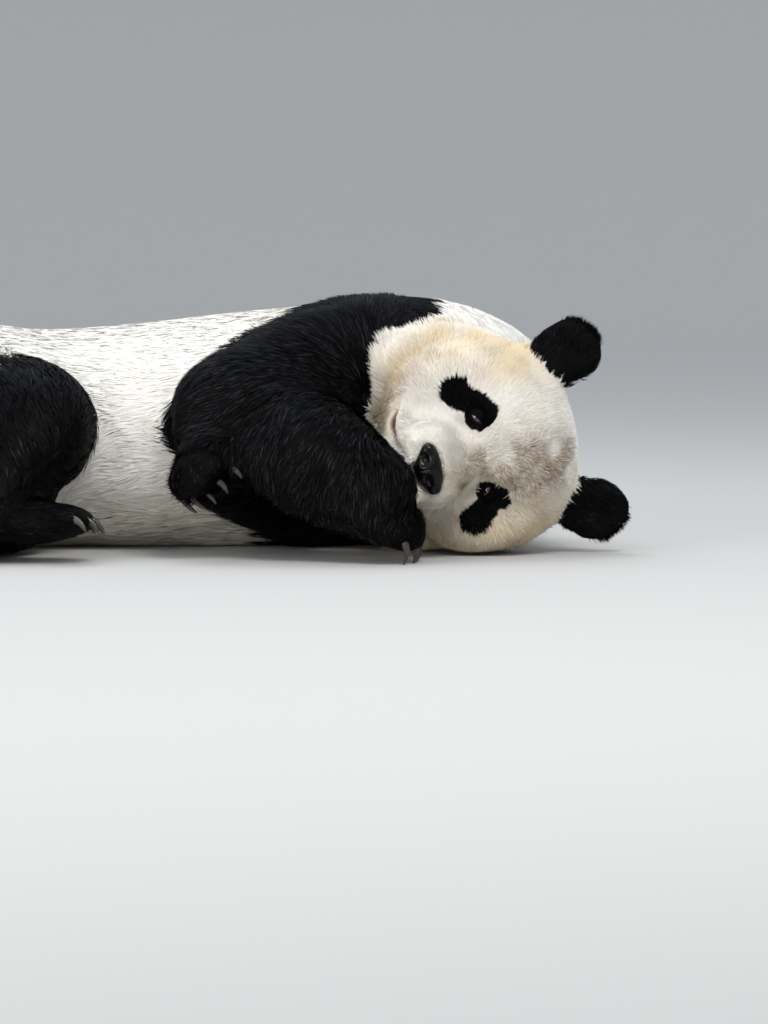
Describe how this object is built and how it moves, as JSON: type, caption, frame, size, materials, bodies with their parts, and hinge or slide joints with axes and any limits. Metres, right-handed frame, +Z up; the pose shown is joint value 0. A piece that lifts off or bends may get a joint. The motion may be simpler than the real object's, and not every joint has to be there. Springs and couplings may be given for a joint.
{
  "type": "giant panda",
  "caption": "Life-size giant panda asleep on its left side, curled up with its chin tucked behind a folded foreleg.",
  "frame": {"origin": "centre of the animal's footprint on the floor", "axes": "+Z up, +X towards the crown of the head, -Y the way that the face, belly and paws look"},
  "size_m": [1.0798, 0.6712, 0.3261],
  "materials": {
    "white_fur": "dense, slightly yellowed white fur",
    "black_fur": "dense black fur with a soft sheen",
    "nose_skin": "moist, pebbled",
    "eye": "wet, glossy",
    "claw": "smooth horn"
  },
  "bodies": {
    "root": {"claw_forepaw_left_1": "claw", "claw_forepaw_left_2": "claw", "claw_forepaw_left_3": "claw", "claw_forepaw_left_4": "claw", "claw_forepaw_left_5": "claw", "claw_forepaw_right_1": "claw", "claw_forepaw_right_2": "claw", "claw_forepaw_right_3": "claw", "claw_forepaw_right_4": "claw", "claw_forepaw_right_5": "claw", "claw_hindpaw_left_1": "claw", "claw_hindpaw_left_2": "claw", "claw_hindpaw_left_3": "claw", "claw_hindpaw_left_4": "claw", "claw_hindpaw_left_5": "claw", "claw_hindpaw_right_1": "claw", "claw_hindpaw_right_2": "claw", "claw_hindpaw_right_3": "claw", "claw_hindpaw_right_4": "claw", "claw_hindpaw_right_5": "claw", "ear_left": "black_fur", "ear_right": "black_fur", "eye_left": "eye", "eye_right": "eye", "foreleg_left": "black_fur", "foreleg_right": "black_fur", "forepaw_left": "black_fur", "forepaw_right": "black_fur", "head": "white_fur", "hindleg_left": "black_fur", "hindleg_right": "black_fur", "hindpaw_left": "black_fur", "hindpaw_right": "black_fur", "neck": "white_fur", "nose": "nose_skin", "tail": "white_fur", "trunk": "white_fur"}
  },
  "joints": []
}
